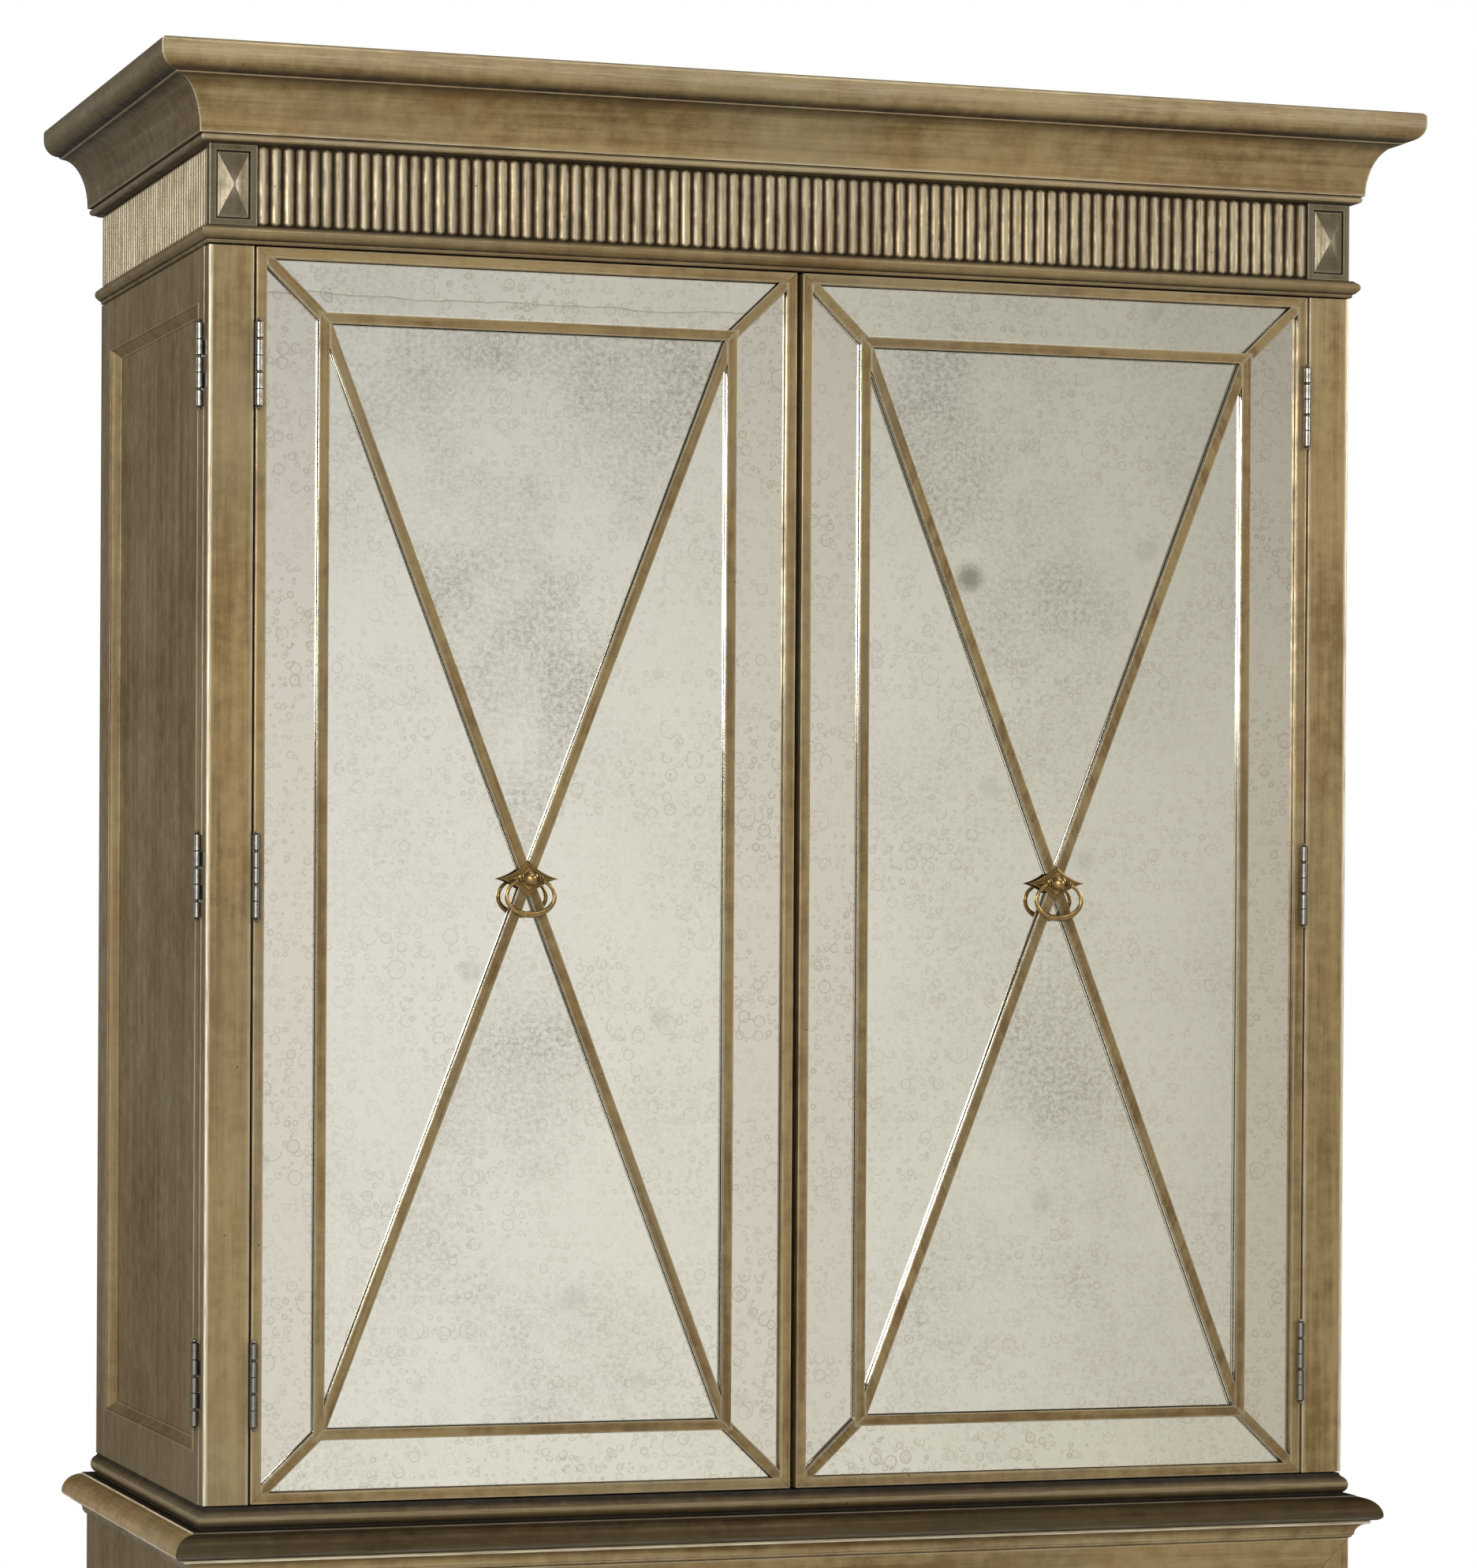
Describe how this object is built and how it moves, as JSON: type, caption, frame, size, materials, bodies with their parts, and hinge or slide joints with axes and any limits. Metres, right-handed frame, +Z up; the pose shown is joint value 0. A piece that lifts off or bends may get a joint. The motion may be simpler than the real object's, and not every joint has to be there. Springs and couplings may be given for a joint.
{
  "type": "armoire",
  "caption": "Two-part armoire: a mirrored upper cabinet with doors on folding stiles that wrap round its sides, on a lower case with drawers.",
  "frame": {"origin": "on the floor, under the middle of the armoire", "axes": "+X to the right seen from the front, +Y to the back, +Z up; the doors face -Y"},
  "size_m": [1.245, 0.576, 2.134],
  "materials": {
    "leaf_paint_front": "brushed metallic leaf paint over wood, brown glaze",
    "leaf_paint_side": "brushed metallic leaf paint over wood, darker glaze",
    "antique_mirror": "antiqued mirror, cloudy and speckled",
    "aged_brass": "aged, polished on the high spots",
    "hinge_steel": "pewter",
    "plain_board": "plain stained board"
  },
  "bodies": {
    "case": {"base_board": "leaf_paint_front", "case_hinge_high_left": "hinge_steel", "case_hinge_high_right": "hinge_steel", "case_hinge_low_left": "hinge_steel", "case_hinge_low_right": "hinge_steel", "case_hinge_mid_left": "hinge_steel", "case_hinge_mid_right": "hinge_steel", "corner_block_left": "leaf_paint_front", "corner_block_right": "leaf_paint_front", "cornice_cap": "plain_board", "cornice_front": "leaf_paint_front", "cornice_side_left": "leaf_paint_side", "cornice_side_right": "leaf_paint_side", "face_frame": "leaf_paint_front", "frieze_front": "leaf_paint_front", "frieze_side_left": "leaf_paint_side", "frieze_side_right": "leaf_paint_side", "lower_back": "plain_board", "lower_floor": "plain_board", "lower_side_left": "leaf_paint_side", "lower_side_right": "leaf_paint_side", "neck_board": "leaf_paint_front", "plinth": "leaf_paint_front", "shelf_lower": "plain_board", "shelf_upper": "plain_board", "upper_back": "plain_board", "upper_side_left": "leaf_paint_side", "upper_side_right": "leaf_paint_side", "waist_cove": "leaf_paint_front", "waist_top": "leaf_paint_front"},
    "stile_left": {"fold_stile_left": "leaf_paint_front", "door_hinge_low_left": "hinge_steel", "door_hinge_mid_left": "hinge_steel", "door_hinge_high_left": "hinge_steel"},
    "door_left": {"door_frame_left": "leaf_paint_front", "door_lattice_left": "leaf_paint_front", "door_mirror_left": "antique_mirror", "door_pull_left": "aged_brass"},
    "door_ring_left": {"door_ring_left": "aged_brass"},
    "stile_right": {"fold_stile_right": "leaf_paint_front", "door_hinge_low_right": "hinge_steel", "door_hinge_mid_right": "hinge_steel", "door_hinge_high_right": "hinge_steel"},
    "door_right": {"door_frame_right": "leaf_paint_front", "door_lattice_right": "leaf_paint_front", "door_mirror_right": "antique_mirror", "door_pull_right": "aged_brass"},
    "door_ring_right": {"door_ring_right": "aged_brass"},
    "drawer_upper": {"drawer_box_upper": "plain_board", "drawer_front_upper": "leaf_paint_front", "drawer_pull_upper_left": "aged_brass", "drawer_pull_upper_right": "aged_brass"},
    "drawer_ring_upper_left": {"drawer_ring_upper_left": "aged_brass"},
    "drawer_ring_upper_right": {"drawer_ring_upper_right": "aged_brass"},
    "drawer_lower": {"drawer_box_lower": "plain_board", "drawer_front_lower": "leaf_paint_front", "drawer_pull_lower_left": "aged_brass", "drawer_pull_lower_right": "aged_brass"},
    "drawer_ring_lower_left": {"drawer_ring_lower_left": "aged_brass"},
    "drawer_ring_lower_right": {"drawer_ring_lower_right": "aged_brass"}
  },
  "joints": [
    {"name": "left_stile_fold", "type": "hinge", "parent": "case", "child": "stile_left", "pos_m": [-0.5704, -0.211, 1.3845], "axis": [0, 0, -1], "range_deg": [0, 180]},
    {"name": "left_door_swing", "type": "hinge", "parent": "stile_left", "child": "door_left", "pos_m": [-0.5209, -0.2359, 1.3845], "axis": [0, 0, -1], "range_deg": [0, 90]},
    {"name": "left_door_ring_swing", "type": "hinge", "parent": "door_left", "child": "door_ring_left", "pos_m": [-0.26265, -0.24, 1.3845], "axis": [-1, 0, 0], "range_deg": [0, 95]},
    {"name": "right_stile_fold", "type": "hinge", "parent": "case", "child": "stile_right", "pos_m": [0.5704, -0.211, 1.3845], "axis": [0, 0, 1], "range_deg": [0, 180]},
    {"name": "right_door_swing", "type": "hinge", "parent": "stile_right", "child": "door_right", "pos_m": [0.5209, -0.2359, 1.3845], "axis": [0, 0, 1], "range_deg": [0, 90]},
    {"name": "right_door_ring_swing", "type": "hinge", "parent": "door_right", "child": "door_ring_right", "pos_m": [0.26265, -0.24, 1.3845], "axis": [-1, 0, 0], "range_deg": [0, 95]},
    {"name": "upper_drawer_slide", "type": "slide", "parent": "case", "child": "drawer_upper", "axis": [0, -1, 0], "range_m": [0, 0.38]},
    {"name": "upper_left_drawer_ring_swing", "type": "hinge", "parent": "drawer_upper", "child": "drawer_ring_upper_left", "pos_m": [-0.26275, -0.2428, 0.56812], "axis": [-1, 0, 0], "range_deg": [0, 95]},
    {"name": "upper_right_drawer_ring_swing", "type": "hinge", "parent": "drawer_upper", "child": "drawer_ring_upper_right", "pos_m": [0.26275, -0.2428, 0.56812], "axis": [-1, 0, 0], "range_deg": [0, 95]},
    {"name": "lower_drawer_slide", "type": "slide", "parent": "case", "child": "drawer_lower", "axis": [0, -1, 0], "range_m": [0, 0.38]},
    {"name": "lower_left_drawer_ring_swing", "type": "hinge", "parent": "drawer_lower", "child": "drawer_ring_lower_left", "pos_m": [-0.26275, -0.2428, 0.26937], "axis": [-1, 0, 0], "range_deg": [0, 95]},
    {"name": "lower_right_drawer_ring_swing", "type": "hinge", "parent": "drawer_lower", "child": "drawer_ring_lower_right", "pos_m": [0.26275, -0.2428, 0.26937], "axis": [-1, 0, 0], "range_deg": [0, 95]}
  ]
}
